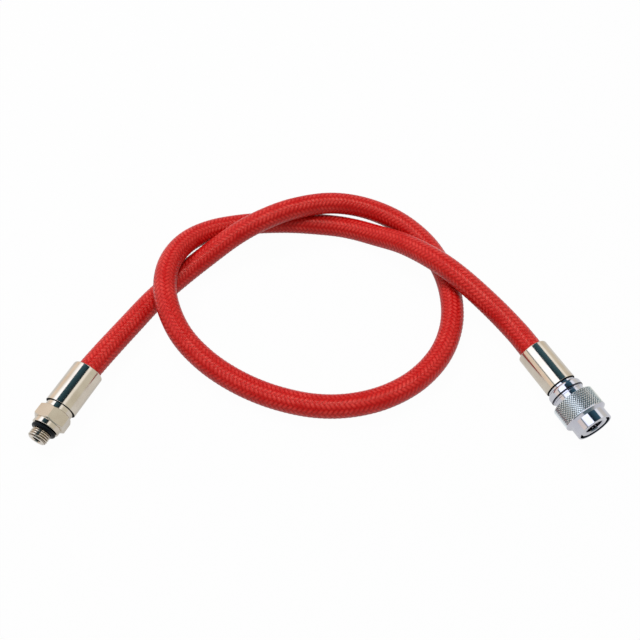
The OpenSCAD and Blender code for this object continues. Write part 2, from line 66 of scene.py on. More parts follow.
lens = bpy.data.cameras.new("bench_camera")
lens.sensor_width = 36
lens.lens = 43.6
camera = bpy.data.objects.new("bench_camera", lens)
bpy.context.scene.collection.objects.link(camera)
camera.location = AIM + DISTANCE * Vector((0, -math.cos(ELEVATION), math.sin(ELEVATION)))
camera.rotation_euler = (math.pi / 2 - ELEVATION, 0, 0)
bpy.context.scene.camera = camera
print("camera height above the bench:", round(camera.location.z / MM), "mm")

# %% [markdown]
# A turned part is one outline spun about its axis. The helper takes rings of a radius and a
# station along the axis. Either may be one number, for a plain turned shape, or an array with
# one value per column, so that a hexagon, a thread or a knurl comes from the same helper.
# Blender's Screw modifier could spin an outline too, but it can't change the radius on the way.
# A Weighted Normal modifier lets the long faces lead the shading, so that a small fillet at one
# end doesn't bend the reflections all along a polished cylinder.

# %% Helpers for meshes
SHARP_ABOVE = math.radians(35)


def new_mesh(name, points, faces):
    """Mesh object with smooth faces, outward normals and its steep edges marked sharp."""
    a, b, c, d = (points[faces[:, k]] for k in range(4))
    volume = (np.einsum("ij,ij->i", a, np.cross(b, c))
              + np.einsum("ij,ij->i", a, np.cross(c, d))).sum()
    if volume < 0:
        faces = faces[:, ::-1]
    mesh = bpy.data.meshes.new(name)
    mesh.vertices.add(len(points))
    mesh.vertices.foreach_set("co", points.astype(np.float32).ravel())
    mesh.loops.add(faces.size)
    mesh.loops.foreach_set("vertex_index", faces.astype(np.int32).ravel())
    mesh.polygons.add(len(faces))
    mesh.polygons.foreach_set("loop_start", np.arange(0, faces.size, 4, dtype=np.int32))
    mesh.update(calc_edges=True)
    mesh.polygons.foreach_set("use_smooth", np.ones(len(faces), dtype=bool))
    mesh.set_sharp_from_angle(angle=SHARP_ABOVE)
    piece = bpy.data.objects.new(name, mesh)
    bpy.context.scene.collection.objects.link(piece)
    print(name, "has", len(faces), "faces")
    return piece


def tube_faces(rings, sides, closed=True):
    """Quads between neighbouring rings; a closed tube joins its last ring to its first."""
    ring = np.arange(rings if closed else rings - 1)[:, None]
    side = np.arange(sides)[None, :]
    after, beside = (ring + 1) % rings, (side + 1) % sides
    corners = [ring * sides + side, ring * sides + beside,
               after * sides + beside, after * sides + side]
    grids = [np.broadcast_to(corner, (len(ring), sides)) for corner in corners]
    return np.stack(grids, axis=-1).reshape(-1, 4)


def rounded(outline, steps=4):
    """Outline of (radius, station, fillet) corners, with each fillet drawn as an arc."""
    made = []
    count = len(outline)
    for k, (r, t, fillet) in enumerate(outline):
        here = np.array((r, t), float)
        if fillet == 0:
            made.append(here)
            continue
        before = np.array(outline[k - 1][:2], float) - here
        ahead = np.array(outline[(k + 1) % count][:2], float) - here
        before, ahead = before / np.linalg.norm(before), ahead / np.linalg.norm(ahead)
        half = math.acos(np.clip(before @ ahead, -1, 1)) / 2
        reach = fillet / math.tan(half)
        centre = here + (before + ahead) / np.linalg.norm(before + ahead) * fillet / math.sin(half)
        first, last = here + before * reach - centre, here + ahead * reach - centre
        turn = math.acos(np.clip(first @ last / fillet ** 2, -1, 1))
        for f in np.linspace(0, 1, steps + 1):
            arm = math.sin((1 - f) * turn) * first + math.sin(f * turn) * last
            made.append(centre + arm / math.sin(turn))
    return [tuple(p) for p in made]


class Fitting:
    """Tip in millimetres and heading in degrees of a fitting; stations run along its axis."""

    def __init__(self, tip, heading):
        angle = math.radians(heading)
        self.tip = np.array(tip)
        self.axis = np.array((math.cos(angle), math.sin(angle), 0))
        self.down = np.array((0, 0, -1.0))
        self.side = np.cross(self.axis, self.down)

    def on_axis(self, station):
        """Point of the axis at a station, in millimetres."""
        return self.tip + station * self.axis

    def turned(self, name, rings, sides):
        """Closed turned mesh from (radius, station) rings; its columns start at the bench side."""
        angle = np.arange(sides) * 2 * np.pi / sides
        spoke = np.cos(angle)[:, None] * self.down + np.sin(angle)[:, None] * self.side
        rows = []
        for radius, station in rings:
            radius = np.broadcast_to(radius, sides)[:, None]
            station = np.broadcast_to(station, sides)[:, None]
            rows.append(self.tip + station * self.axis + radius * spoke)
        points = np.concatenate(rows) * MM
        piece = new_mesh(name, points, tube_faces(len(rings), sides))
        even = piece.modifiers.new("long_faces_lead", "WEIGHTED_NORMAL")
        even.keep_sharp = True
        return piece


STUD = Fitting((-131.4, -24.6, 8.403), 64.5)
COUPLER = Fitting((127.8, -19.5, 10.6), 118)
print("stud tip", STUD.tip, "coupler tip", COUPLER.tip)

# %% [markdown]
# The hose is 781 mm long, of which 36 mm is hidden in the ferrules. It lies on the bench and
# lifts into low humps where it crosses itself. Its route is the one that the solids follow,
# drawn through the same points, so the braid covers them all the way.

# %% Route of the hose, in metres
HOSE_D = 11.8 * MM
LIE = 5.799 * MM  # the least height of the hose's axis above the bench
STUD_END, STUD_BEFORE, STUD_MOUTH = 22.0, 32.25, 41.25
COUPLER_END, COUPLER_BEFORE, COUPLER_MOUTH = 28.8, 39.05, 48.05
ROUTE = [
    (-0.1075, 0.0240, 0.0020), (-0.0980, 0.0405, 0.0010), (-0.0875, 0.0575, 0.0005),
    (-0.0760, 0.0725, 0.0000), (-0.0625, 0.0850, 0.0025), (-0.0465, 0.0965, 0.0075),
    (-0.0315, 0.1045, 0.0110), (-0.0145, 0.1115, 0.0125), (0.0055, 0.1175, 0.0105),
    (0.0245, 0.1175, 0.0070), (0.0425, 0.1105, 0.0040), (0.0565, 0.0980, 0.0015),
    (0.0650, 0.0825, 0.0000), (0.0690, 0.0635, 0.0000), (0.0680, 0.0435, 0.0000),
    (0.0610, 0.0250, 0.0000), (0.0485, 0.0100, 0.0000), (0.0325, 0.0000, 0.0000),
    (0.0145, -0.0050, 0.0000), (-0.0040, -0.0050, 0.0000), (-0.0235, 0.0000, 0.0000),
    (-0.0420, 0.0085, 0.0010), (-0.0580, 0.0190, 0.0045), (-0.0705, 0.0325, 0.0085),
    (-0.0785, 0.0510, 0.0120), (-0.0795, 0.0700, 0.0125), (-0.0735, 0.0880, 0.0095),
    (-0.0615, 0.1015, 0.0050), (-0.0435, 0.1100, 0.0010), (-0.0220, 0.1125, 0.0000),
    (0.0005, 0.1110, 0.0000), (0.0170, 0.1080, 0.0000), (0.0315, 0.1015, 0.0015),
    (0.0460, 0.0910, 0.0065), (0.0605, 0.0760, 0.0115), (0.0725, 0.0635, 0.0120),
    (0.0870, 0.0485, 0.0085), (0.0985, 0.0345, 0.0055),
]


def smooth_line(points, per_span=200):
    """Catmull-Rom curve through the points, drawn as finely as the braid needs."""
    before, after = 2 * points[:1] - points[1:2], 2 * points[-1:] - points[-2:-1]
    points = np.concatenate([before, points, after])
    f = np.linspace(0, 1, per_span, endpoint=False)[:, None]
    spans = []
    for a, b, c, d in zip(points, points[1:], points[2:], points[3:]):
        spans.append(0.5 * (2 * b + (c - a) * f + (2 * a - 5 * b + 4 * c - d) * f ** 2
                            + (3 * b - a - 3 * c + d) * f ** 3))
    return np.concatenate(spans + [points[-2:-1]])


def spaced(line, count):
    """The same line with its points evenly spaced, and its length."""
    steps = np.linalg.norm(np.diff(line, axis=0), axis=1)
    run = np.concatenate([[0], np.cumsum(steps)])
    even = np.linspace(0, run[-1], count)
    return np.stack([np.interp(even, run, line[:, k]) for k in range(3)], axis=1), run[-1]


route_points = np.concatenate([
    [STUD.on_axis(t) * MM for t in (STUD_END, STUD_BEFORE, STUD_MOUTH)],
    np.array(ROUTE) + (0, 0, LIE),
    [COUPLER.on_axis(t) * MM for t in (COUPLER_MOUTH, COUPLER_BEFORE, COUPLER_END)],
])
hose_line = smooth_line(route_points)
hose_line[:, 2] = np.maximum(hose_line[:, 2], LIE)
hose_length = spaced(hose_line, 2)[1]
print("hose length:", round(hose_length / MM, 1), "mm")

# %% [markdown]
# The cover is braided from 28 flat strands, 14 to each hand, every strand going over two and
# under two. On a hose this gives ribs of small slanting stitches along its length. A bump map
# alone would leave the edge of the hose smooth, so each strand's crown and its dive under the
# next are in the mesh. The mesh columns fall on the strands' own lattice, so that few faces
# are enough. The same lattice, kept as the UV map, drives the colour of the strands.

# %% The braided cover
STRANDS = 14
LEAD = 32.2 * MM
PER_STRAND = 6
CROWN, DIVE = 0.20 * MM, 0.20 * MM
PROUD = 0.02 * MM  # how far the crowns stand out past the hose's diameter
BENCH_GAP = 0.03 * MM  # the hose's skin is pressed flat this far above the bench
COVER_BORE = 5.0 * MM


def frames(line):
    """Level and upward directions across the line at each point."""
    ahead = np.gradient(line, axis=0)
    ahead /= np.linalg.norm(ahead, axis=1)[:, None]
    level = np.cross((0, 0, 1.0), ahead)
    level /= np.linalg.norm(level, axis=1)[:, None]
    return level, np.cross(ahead, level)


def braid_relief(around, along):
    """Height of the strands in metres, where both inputs count strands."""
    a, b = around + along, around - along
    crown_a = np.sqrt(np.clip(1 - (2 * (a % 1) - 1) ** 2, 0, 1))
    crown_b = np.sqrt(np.clip(1 - (2 * (b % 1) - 1) ** 2, 0, 1))
    dive_a = 0.5 + 0.5 * np.cos(np.pi / 2 * (np.floor(a) + b - 1))
    dive_b = 0.5 + 0.5 * np.cos(np.pi / 2 * (np.floor(b) + a - 3))
    return np.maximum(CROWN * crown_a + DIVE * dive_a, CROWN * crown_b + DIVE * dive_b)


def hose_tube(rings, sides, outer):
    """Rings of points along the hose's route; outer(ring, side) gives their radius."""
    line = spaced(hose_line, rings)[0]
    level, up = frames(line)
    side = np.arange(sides)
    angle = side * 2 * np.pi / sides
    spoke = (np.sin(angle)[None, :, None] * level[:, None]
             - np.cos(angle)[None, :, None] * up[:, None])
    radius = np.broadcast_to(outer(np.arange(rings)[:, None], side[None, :]), (rings, sides))
    points = line[:, None] + radius[..., None] * spoke
    points[..., 2] = np.maximum(points[..., 2], BENCH_GAP)
    return points, line


def braid_radius(ring, side):
    """Radius of the cover's skin, with the strands' relief in it."""
    return braid_base + braid_relief(side / PER_STRAND, ring / PER_STRAND)


braid_sides = STRANDS * PER_STRAND
braid_rings = round(hose_length / (LEAD / braid_sides)) + 1
braid_base = HOSE_D / 2 - CROWN - DIVE + PROUD
skin, braid_line = hose_tube(braid_rings, braid_sides, braid_radius)
lining = hose_tube(braid_rings, braid_sides, lambda ring, side: COVER_BORE)[0]
LINING_STEP = 12
lined = np.unique(np.append(np.arange(0, braid_rings, LINING_STEP), braid_rings - 1))
cover_points = np.concatenate([skin.reshape(-1, 3), lining[lined[::-1]].reshape(-1, 3)])
braided_cover = new_mesh("braided_cover", cover_points,
                         tube_faces(braid_rings + len(lined), braid_sides))


def strand_map(piece, rings, sides, per_strand, inner_step=1):
    """UV map that counts strands round (U) and along (V) the tube."""
    mesh = piece.data
    corner = np.zeros(len(mesh.loops), np.int32)
    mesh.loops.foreach_get("vertex_index", corner)
    ring, side = corner // sides, (corner % sides).reshape(-1, 4)
    wraps = (side.max(axis=1) - side.min(axis=1)) > 1
    side = np.where(wraps[:, None] & (side == 0), sides, side).ravel()
    ring = np.where(ring >= rings, np.maximum(rings - 1 - (ring - rings) * inner_step, 0), ring)
    counts = np.stack([side, ring], axis=1).astype(np.float32).ravel() / per_strand
    mesh.uv_layers.new(name="strands").data.foreach_set("uv", counts)


strand_map(braided_cover, braid_rings, braid_sides, PER_STRAND, LINING_STEP)
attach(braided_cover, "hose_assembly")
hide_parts("hose_cover")

# %% [markdown]
# Under the cover lie a woven reinforcement and a rubber liner with the air bore. Only their
# place and round section count here, so each is a plain hollow tube along the same route.

# %% The hidden layers
LAYER_SIDES, LAYER_RINGS, LAYER_PER_STRAND = 24, 780, 2


def hidden_layer(name, node, bore, outer):
    """Hollow tube along the hose's route, from its bore's radius to its outer one."""
    wall = [hose_tube(LAYER_RINGS, LAYER_SIDES, lambda ring, side: radius)[0]
            for radius in (outer, bore)]
    points = np.concatenate([wall[0].reshape(-1, 3), wall[1][::-1].reshape(-1, 3)])
    layer = new_mesh(name, points, tube_faces(2 * LAYER_RINGS, LAYER_SIDES))
    strand_map(layer, LAYER_RINGS, LAYER_SIDES, LAYER_PER_STRAND)
    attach(layer, "hose_assembly")
    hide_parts(node)
    return layer


rubber_liner = hidden_layer("rubber_liner", "hose_liner", 3.0 * MM, 4.1 * MM)
woven_layer = hidden_layer(
    "woven_layer", "hose_reinforcement", 4.2 * MM, 4.9 * MM)

# %% [markdown]
# Each ferrule is a plated sleeve, rolled smooth at the mouth and crimped over the hose. Its
# corners are rounded, because polished plate shows every edge as a thin line of light.

# %% The two ferrules
ROUND_SIDES = 128
STUD_NECK, COUPLER_NECK = 19.15, 25.95
STUD_RIM_R, COUPLER_RIM_R, RIM_EDGE_R = 7.2, 7.4, 7.78
FERRULE_R, FERRULE_LEN, FERRULE_LIP, FERRULE_RIM = 7.85, 22.6, 1.6, 0.5
FERRULE_BORE, LIP_BORE = 6.0, 4.65


def ferrule(name, fitting, neck, rim_r, node):
    """Crimped sleeve whose rim reaches a little over the fitting's neck."""
    rim = neck - FERRULE_RIM
    mouth = rim + FERRULE_LEN
    outline = [
        (rim_r, rim + 0.3, 0), (RIM_EDGE_R, rim, 0), (FERRULE_R, rim + 0.1, 0),
        (FERRULE_R, mouth, 0.6), (FERRULE_BORE, mouth, 0.5),
        (FERRULE_BORE, neck + FERRULE_LIP, 0.1), (LIP_BORE, neck + FERRULE_LIP, 0.1),
        (LIP_BORE, neck + 0.05, 0.1), (rim_r, neck + 0.05, 0.05)]
    piece = fitting.turned(name, rounded(outline), ROUND_SIDES)
    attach(piece, "hose_assembly")
    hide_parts(node)
    return piece


stud_sleeve = ferrule("crimped_ferrule_stud", STUD, STUD_NECK, STUD_RIM_R, "stud_ferrule")
coupler_sleeve = ferrule(
    "crimped_ferrule_coupler", COUPLER, COUPLER_NECK, COUPLER_RIM_R, "coupler_ferrule")

# %% [markdown]
# The port stud is turned from hexagon bar: a 3/8-24 thread, a groove for the O-ring, a seat,
# the spanner hexagon, a collar and the barbed stem in the hose. The thread is a true helix.
# The hexagon's chamfer is where a cone cuts the flats, so its edge runs in shallow arcs.

# %% The port stud
STUD_SIDES = 192
stud_angle = np.arange(STUD_SIDES) * 2 * np.pi / STUD_SIDES
THREAD_R, THREAD_PITCH, THREAD_LEN, THREAD_RINGS = 4.7625, 1.058, 4.6, 57
THREAD_DEPTH = 0.6 * THREAD_PITCH
THREAD_ROOT = THREAD_R - THREAD_DEPTH
FLANK = 0.375  # share of the pitch that each flank of the thread takes
HEX_FLATS, HEX_TURN, HEX_CHAMFER = 15.0, 7 * 2 * np.pi / STUD_SIDES, 0.2
SEAT, HEX, BACK = 6.65, 9.15, 15.95
SEAT_R, BACK_R = 6.8, 6.9
NECK_R, COLLAR_R, COLLAR_FROM, COLLAR_TO = 4.6, 5.2, 1.65, 2.65
BARBS, BARB_PITCH, BARB_ROOT, BARB_CREST = 5, 3.0, 2.30, 2.70
STUD_BARB, COUPLER_BARB = 24.25, 31.05  # stations of the first barb
AIR_BORE, STEM_SHORT = 1.8, 2.0  # the stem stops short of the ferrule's mouth


def thread_ring(t):
    """Radius of the thread round one station, with its crests faded out at both ends."""
    phase = (t / THREAD_PITCH - stud_angle / (2 * np.pi)) % 1
    lift = np.clip((0.5 - np.abs(phase - 0.5)) / FLANK, 0, 1)
    ends = np.minimum(THREAD_ROOT - 0.1 + t, THREAD_ROOT + 1.2 * (THREAD_LEN - t))
    return np.minimum(THREAD_ROOT + THREAD_DEPTH * lift, np.maximum(ends, THREAD_ROOT - 0.1)), t


def hex_rings():
    """Hexagon whose corners are cut by a 30 degree cone at both ends."""
    off_flat = (stud_angle - HEX_TURN) % (np.pi / 3) - np.pi / 6
    flat = HEX_FLATS / 2 / np.cos(off_flat)
    face = HEX_FLATS / 2 - HEX_CHAMFER
    cut = (flat - face) * math.tan(math.radians(30))
    ease = 0.06
    return [(face - 0.1, HEX), (face, HEX), (flat - ease, HEX + cut),
            (flat, HEX + cut + 2 * ease), (flat, BACK - cut - 2 * ease),
            (flat - ease, BACK - cut), (face, BACK), (face - 0.1, BACK)]


def barb_rings(neck, mouth, first_barb):
    """Neck and collar that the ferrule grips, then the barbed stem inside the hose."""
    rings = [(NECK_R, neck), (NECK_R, neck + COLLAR_FROM), (COLLAR_R, neck + COLLAR_FROM),
             (COLLAR_R, neck + COLLAR_TO), (BARB_ROOT, neck + COLLAR_TO)]
    for k in range(BARBS):
        start = first_barb + k * BARB_PITCH
        rings += [(BARB_ROOT, start), (BARB_CREST, start + 0.3),
                  (BARB_ROOT, start + BARB_PITCH - 0.3)]
    return rings + [(BARB_ROOT, mouth - STEM_SHORT)]


thread = [thread_ring(t) for t in np.linspace(0, THREAD_LEN, THREAD_RINGS)]
seat = rounded([(THREAD_ROOT, THREAD_LEN + 0.1, 0), (THREAD_ROOT, SEAT, 0),
                (SEAT_R, SEAT, 0.3), (SEAT_R, HEX, 0)])
back = rounded([(BACK_R, BACK, 0), (BACK_R, STUD_NECK, 0.3), (NECK_R, STUD_NECK, 0)])
barbs = barb_rings(STUD_NECK, STUD_MOUTH, STUD_BARB)
bore = [(AIR_BORE, STUD_MOUTH - STEM_SHORT), (AIR_BORE, BACK), (2.2, BACK), (2.2, 0.4), (2.6, 0)]
stud_body = STUD.turned("port_stud", thread + seat + hex_rings() + back + barbs + bore, STUD_SIDES)
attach(stud_body, "hose_assembly")
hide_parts("stud_fitting")

# %% [markdown]
# The coupler's tail is screwed into the end of its body. Its flange closes on the body at a seam
# painted dark as shade, and behind the flange it falls in one smooth shoulder to the ferrule.

# %% The coupler's tail
FLANGE_R, SEAM, TAIL_R = 8.6, 20.05, 7.15
SHOULDER_FROM, SHOULDER_LEN, SHOULDER_RINGS = 22.3, 1.7, 14
SHADED_FROM = 24.8  # from here to the ferrule the tail is painted dark, as shade under the ferrule's rim
SPIGOT_R, SPIGOT_END, SPIGOT_BORE, BORE_STEP = 5.1, 17.35, 2.5, 23.4
GROOVE_R, GROOVE_FROM, GROOVE_TO = 4.25, 17.85, 18.85

spigot = [(SPIGOT_BORE, SPIGOT_END), (SPIGOT_R - 0.2, SPIGOT_END), (SPIGOT_R, SPIGOT_END + 0.2),
          (SPIGOT_R, GROOVE_FROM), (GROOVE_R, GROOVE_FROM), (GROOVE_R, GROOVE_TO),
          (SPIGOT_R, GROOVE_TO), (SPIGOT_R, SEAM)]
lip = [(FLANGE_R - 0.35, SEAM), (FLANGE_R - 0.1, SEAM + 0.15), (FLANGE_R, SEAM + 0.45)]
shoulder = [(TAIL_R + (FLANGE_R - TAIL_R) * math.cos(f), SHOULDER_FROM + SHOULDER_LEN * math.sin(f))
            for f in np.linspace(0, math.pi / 2, SHOULDER_RINGS)]
tail = [(TAIL_R, 24.6), (TAIL_R, SHADED_FROM), (TAIL_R, COUPLER_NECK)]
tail_barbs = barb_rings(COUPLER_NECK, COUPLER_MOUTH, COUPLER_BARB)
tail_bore = [(AIR_BORE, COUPLER_MOUTH - STEM_SHORT), (AIR_BORE, BORE_STEP),
             (SPIGOT_BORE, BORE_STEP)]
coupler_tail = COUPLER.turned(
    "coupler_tail", spigot + lip + shoulder + tail + tail_barbs + tail_bore, ROUND_SIDES)
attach(coupler_tail, "hose_assembly")
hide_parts("coupler_stem")

# %% [markdown]
# The release sleeve is what the diver's fingers draw back. Its grip is knurled: two sets of
# crossing helical grooves leave rows of small pyramids. They are in the mesh, with the columns
# on the pyramids' own lattice, because a bump would lose the sparkle of their edges.

# %% The knurled release sleeve
KNURLS, KNURL_DEPTH, PER_KNURL = 52, 0.45, 4
SLEEVE_SIDES = KNURLS * PER_KNURL
MOUTH_R, NOSE_R, GRIP_R, REAR_R, SLEEVE_LEN = 8.0, 8.95, 10.6, 7.75, 17.2
KNURL_FROM, KNURL_TO, KNURL_ROWS = 7.0, 16.5, 7
THROAT_R, THROAT_FROM, CONE_FROM = 7.1, 5.365, 2.125  # the throat holds the balls in
SPRING_BORE, BORE_FROM, BORE_TO = 8.468, 7.165, 16.0
CREASE_ABOVE = math.radians(20)


def knurl_rings():
    """Rings of the grip: the lower of two crossing sets of ridges leaves pyramids."""
    column = np.arange(SLEEVE_SIDES) / PER_KNURL
    rows = KNURL_ROWS * PER_KNURL
    rings = []
    for k in range(rows + 1):
        a, b = column + k / PER_KNURL, column - k / PER_KNURL
        lift = np.minimum(1 - np.abs(2 * (a % 1) - 1), 1 - np.abs(2 * (b % 1) - 1))
        rings.append((GRIP_R - KNURL_DEPTH * (1 - lift),
                      KNURL_FROM + (KNURL_TO - KNURL_FROM) * k / rows))
    return rings


def off_axis(mesh, fitting):
    """Radius and station of each of the mesh's points, in millimetres."""
    points = np.zeros(len(mesh.vertices) * 3)
    mesh.vertices.foreach_get("co", points)
    points = points.reshape(-1, 3) / MM - fitting.tip
    station = points @ fitting.axis
    return np.linalg.norm(points - station[:, None] * fitting.axis, axis=1), station


def crease_valleys(piece, fitting, start, end):
    """Split the quads between two stations along their lower diagonal, where a groove runs.

    The attribute "groove" keeps how deep each point lies under the crests, from 0 to 1, and the
    knurled finish uses it to paint shade in the pits. It is also 1 inside the sleeve, where painted
    shade darkens the gap round the nipple.
    """
    radius, station = off_axis(piece.data, fitting)
    work = bmesh.new()
    work.from_mesh(piece.data)
    work.verts.ensure_lookup_table()
    for face in list(work.faces):
        corners = list(face.verts)
        if all(start - 0.01 < station[v.index] < end + 0.01 for v in corners):
            evens, odds = (sum(radius[v.index] for v in corners[k::2]) for k in (0, 1))
            first = 0 if evens < odds else 1
            bmesh.utils.face_split(face, corners[first], corners[first + 2])
    work.to_mesh(piece.data)
    work.free()
    piece.data.set_sharp_from_angle(angle=CREASE_ABOVE)
    # Inside the mouth the depth is set to 1, so that painted shade darkens the gap there.
    depth = np.where((station > start) & (station < end), (GRIP_R - radius) / KNURL_DEPTH,
                     radius < MOUTH_R + 0.05)
    groove = piece.data.attributes.new("groove", "FLOAT", "POINT")
    groove.data.foreach_set("value", np.clip(depth, 0, 1).astype(np.float32))


# The first outline's last corner only steers the fillet at the mouth, so it is dropped.
front = rounded([(MOUTH_R, 0, 0.1), (NOSE_R, 0, 0.35), (NOSE_R, 5.3, 0), (GRIP_R - 0.1, 6.5, 0.2),
                 (GRIP_R, KNURL_FROM - 0.1, 0), (7.8, 9.0, 0)])[:-1]
rear = rounded([(GRIP_R - KNURL_DEPTH, KNURL_TO + 0.05, 0), (REAR_R + 0.2, SLEEVE_LEN, 0.15),
                (REAR_R, SLEEVE_LEN, 0), (REAR_R, BORE_TO, 0)])
inside = [(SPRING_BORE, BORE_TO), (SPRING_BORE, BORE_FROM), (THROAT_R, BORE_FROM),
          (THROAT_R, THROAT_FROM), (MOUTH_R, CONE_FROM)]
knurled_sleeve = COUPLER.turned(
    "knurled_sleeve", front + knurl_rings() + rear + inside, SLEEVE_SIDES)
crease_valleys(knurled_sleeve, COUPLER, KNURL_FROM, KNURL_TO)
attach(knurled_sleeve, "sleeve")
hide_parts("release_sleeve")

# %% [markdown]
# Two wire springs push the sleeve and the valve's pin forward. Each is a coil with a closed
# turn at both ends, so that it stands flat. Each gets its own copy of its mesh, but nothing
# shortens it with its joint, so a rigid coil can cut through the part that squeezes it.

# %% The two springs
WIRE_SIDES, TURN_STEPS = 12, 24
SLEEVE_SPRING = 7.267, 15.3  # stations of its front and rear end
CORE_SPRING = 13.15, 17.95


def coil(name, radius, wire, turns, front_end, rear_end):
    """Closed wire tube wound about the coupler's axis, with a closed turn at both ends."""
    low, high, closed_turn = front_end + wire / 2, rear_end - wire / 2, 1.03 * wire
    wound = np.arange(turns * TURN_STEPS + 1) / TURN_STEPS
    station = np.interp(wound, [0, 1, turns - 1, turns],
                        [low, low + closed_turn, high - closed_turn, high])
    angle = 2 * np.pi * wound[:, None]
    spoke = np.cos(angle) * COUPLER.down + np.sin(angle) * COUPLER.side
    around = np.arange(WIRE_SIDES)[None, :, None] * 2 * np.pi / WIRE_SIDES
    points = (COUPLER.tip + (radius + wire / 2 * np.cos(around)) * spoke[:, None]
              + (station[:, None, None] + wire / 2 * np.sin(around)) * COUPLER.axis)
    half = np.arange(WIRE_SIDES // 2 - 1)
    cap = np.stack([half + 1, half, WIRE_SIDES - 1 - half, WIRE_SIDES - 2 - half], axis=1)
    last_ring = (len(wound) - 1) * WIRE_SIDES
    faces = np.concatenate([tube_faces(len(wound), WIRE_SIDES, closed=False), cap,
                            last_ring + cap[:, ::-1]])
    return new_mesh(name, points.reshape(-1, 3) * MM, faces)


def shorten(spring, joint, front_end, rear_end):
    """Give the spring its own copy of its mesh; it is not shortened."""
    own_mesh(spring)


sleeve_coil = coil("sleeve_coil", 7.918, 0.8, 5, *SLEEVE_SPRING)
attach(sleeve_coil, "spring_carrier")
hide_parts("sleeve_spring")
shorten(sleeve_coil, "sleeve_slide", *SLEEVE_SPRING)
core_coil = coil("core_coil", 1.225, 0.35, 6, *CORE_SPRING)
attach(core_coil, "hose_assembly")
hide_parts("core_spring")
shorten(core_coil, "valve_press", *CORE_SPRING)

# %% [markdown]
# The finishes share a few effects. Each effect is one node group with named inputs and
# outputs, placed in each material with its own values; the shader stays in the material.

# %% Helpers for node trees
def new_group(name, inputs, outputs):
    """Empty node group of plain numbers; inputs are (name, value), outputs are names."""
    tree = bpy.data.node_groups.new(name, "ShaderNodeTree")
    for label, value in inputs:
        socket = tree.interface.new_socket(label, in_out="INPUT", socket_type="NodeSocketFloat")
        socket.default_value = value
    for label in outputs:
        tree.interface.new_socket(label, in_out="OUTPUT", socket_type="NodeSocketFloat")
    return tree, tree.nodes.new("NodeGroupInput").outputs, tree.nodes.new("NodeGroupOutput").inputs


def add(tree, kind, ins=None, **settings):
    """Node with its settings and inputs; an input is a value or another node's output."""
    node = tree.nodes.new("ShaderNode" + kind)
    for key, value in settings.items():
        setattr(node, key, value)
    for key, value in (ins or {}).items():
        if isinstance(value, bpy.types.NodeSocket):
            tree.links.new(value, node.inputs[key])
        else:
            node.inputs[key].default_value = value
    return node


def maths(tree, operation, *values):
    """Result of one Math node."""
    return add(tree, "Math", dict(enumerate(values)), operation=operation).outputs[0]


def blend_colours(tree, factor, first, second):
    """The first colour where the factor is 0, the second where it is 1."""
    return add(tree, "Mix", {0: factor, 6: first, 7: second}, data_type="RGBA").outputs[2]


def pick(tree, chosen, if_true, if_false):
    """One of two numbers."""
    return add(tree, "Mix", {0: chosen, 2: if_false, 3: if_true}).outputs[0]


def noise(tree, scale, detail, roughness=0.5):
    """Cloudy noise from 0 to 1 that stays with the piece."""
    where = add(tree, "TexCoord").outputs["Object"]
    return add(tree, "TexNoise", {"Vector": where, "Scale": scale, "Detail": detail,
                                  "Roughness": roughness}).outputs["Fac"]


def spread(tree, value, low, high, to_low=0.0, to_high=1.0):
    """The span from low to high, stretched to another one and cut off at its ends."""
    return add(tree, "MapRange", {"Value": value, "From Min": low, "From Max": high,
                                  "To Min": to_low, "To Max": to_high}).outputs[0]


print("materials before the finishes are made:", len(bpy.data.materials))

# %% [markdown]
# Plated and polished metal is never even: hands leave a faint bloom, and fine rub marks catch
# the light. The group makes a soft mask for the bloom, a roughness that varies with it, and a
# very low relief of rub marks.

# %% Effect: handling marks on metal
handling, given, result = new_group(
    "handling_marks", [("Roughness", 0.1), ("Bloom", 0.06), ("Mark Size", 900.0)],
    ["Bloom Mask", "Roughness", "Height"])
cloud = spread(handling, noise(handling, 160.0, 4.0), 0.35, 0.7)
marks = noise(handling, given["Mark Size"], 6.0, 0.7)
handling.links.new(cloud, result["Bloom Mask"])
grown = maths(handling, "MULTIPLY_ADD", cloud, given["Bloom"], given["Roughness"])
handling.links.new(
    maths(handling, "MULTIPLY_ADD", spread(handling, marks, 0.5, 0.8), given["Bloom"], grown),
    result["Roughness"])
handling.links.new(marks, result["Height"])
print("group", handling.name, "has", len(handling.nodes), "nodes")

# %% [markdown]
# A braid's colour follows its strands: each differs a little in dye, a painted highlight lies on
# the crown of each float, and painted shade darkens the dips between strands. Within a strand lie a
# few parallel yarns.
# The group reads the strand-counting UV map, so colour and mesh agree.

# %% Effect: laid strands
OVER_AND_UNDER = 4.0  # a strand goes over two and under two
DYE_LOTS = 16.0  # the dyes repeat after so many strands
OTHER_HAND = 40.0  # sets the dyes of the two hands apart
OVER_OFFSET, LOT_OFFSET = 4000.0, 3200.0  # whole repeats, so that a remainder is never negative

laid, given, result = new_group(
    "laid_strands", [("Yarns", 4.0), ("Dye Spread", 0.5)], ["Crown", "Float", "Dye", "Height"])
across = add(laid, "SeparateXYZ", {0: add(laid, "UVMap", uv_map="strands").outputs[0]}).outputs
right_hand = maths(laid, "ADD", across[0], across[1])
left_hand = maths(laid, "SUBTRACT", across[0], across[1])
right_count, left_count = maths(laid, "FLOOR", right_hand), maths(laid, "FLOOR", left_hand)
cells = maths(laid, "ADD", maths(laid, "ADD", right_count, left_count), OVER_OFFSET)
right_on_top = maths(laid, "LESS_THAN", maths(laid, "MODULO", cells, OVER_AND_UNDER), 1.5)
shown = pick(laid, right_on_top, right_hand, left_hand)
run = pick(laid, right_on_top,
           maths(laid, "ADD", right_count, maths(laid, "SUBTRACT", left_hand, 1.0)),
           maths(laid, "ADD", left_count, maths(laid, "SUBTRACT", right_hand, 3.0)))
swing = maths(laid, "COSINE", maths(laid, "MULTIPLY", run, math.pi / 2))
laid.links.new(spread(laid, swing, 0.2, 1.0), result["Float"])
in_strand = maths(laid, "FRACT", shown)
